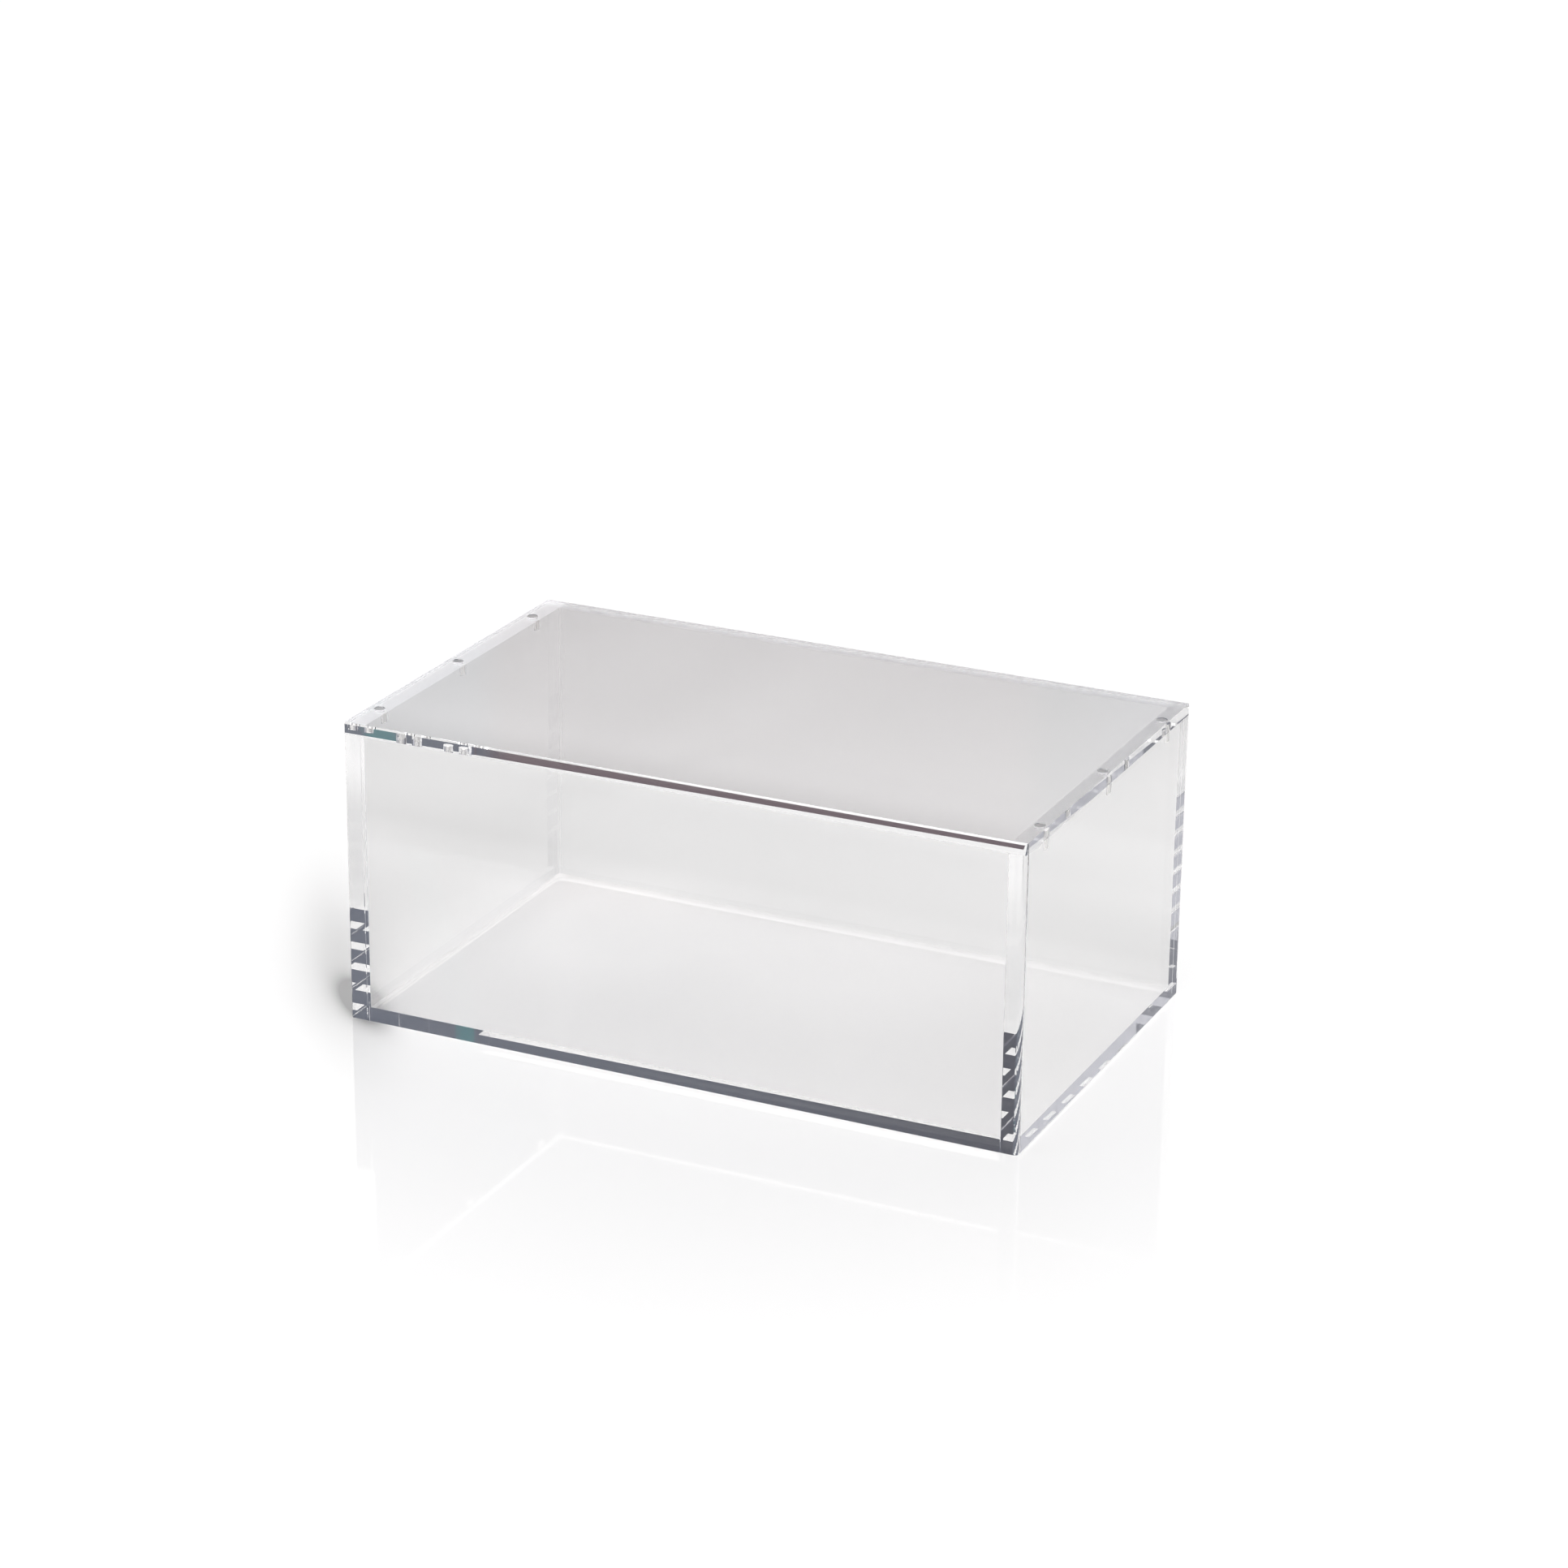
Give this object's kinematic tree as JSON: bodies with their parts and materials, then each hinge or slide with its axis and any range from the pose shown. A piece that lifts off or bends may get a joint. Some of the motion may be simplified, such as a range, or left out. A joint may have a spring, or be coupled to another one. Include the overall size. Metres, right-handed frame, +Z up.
{
  "type": "acrylic storage box with lid",
  "caption": "Clear acrylic storage box of bonded sheets, with a flat lift-off lid held in place by magnets along its short sides.",
  "frame": {"origin": "middle of the footprint, on the surface that the box stands on", "axes": "+X along the long front edge towards the right, +Y from the front to the back, +Z up"},
  "size_m": [0.34, 0.2, 0.1485],
  "materials": {
    "clear_acrylic": "clear cast acrylic, polished faces and edges",
    "nickel_magnet": "bright nickel plating"
  },
  "bodies": {
    "box": {"front_panel": "clear_acrylic", "back_panel": "clear_acrylic", "left_side_panel": "clear_acrylic", "right_side_panel": "clear_acrylic", "bottom_panel": "clear_acrylic", "box_magnet_left_front": "nickel_magnet", "box_magnet_left_middle": "nickel_magnet", "box_magnet_left_back": "nickel_magnet", "box_magnet_right_front": "nickel_magnet", "box_magnet_right_middle": "nickel_magnet", "box_magnet_right_back": "nickel_magnet"},
    "lid": {"lid_panel": "clear_acrylic", "lid_magnet_left_front": "nickel_magnet", "lid_magnet_left_middle": "nickel_magnet", "lid_magnet_left_back": "nickel_magnet", "lid_magnet_right_front": "nickel_magnet", "lid_magnet_right_middle": "nickel_magnet", "lid_magnet_right_back": "nickel_magnet"}
  },
  "joints": [
    {"name": "lid_lift", "type": "slide", "parent": "box", "child": "lid", "axis": [0, 0, 1], "range_m": [0, 0.16]}
  ]
}
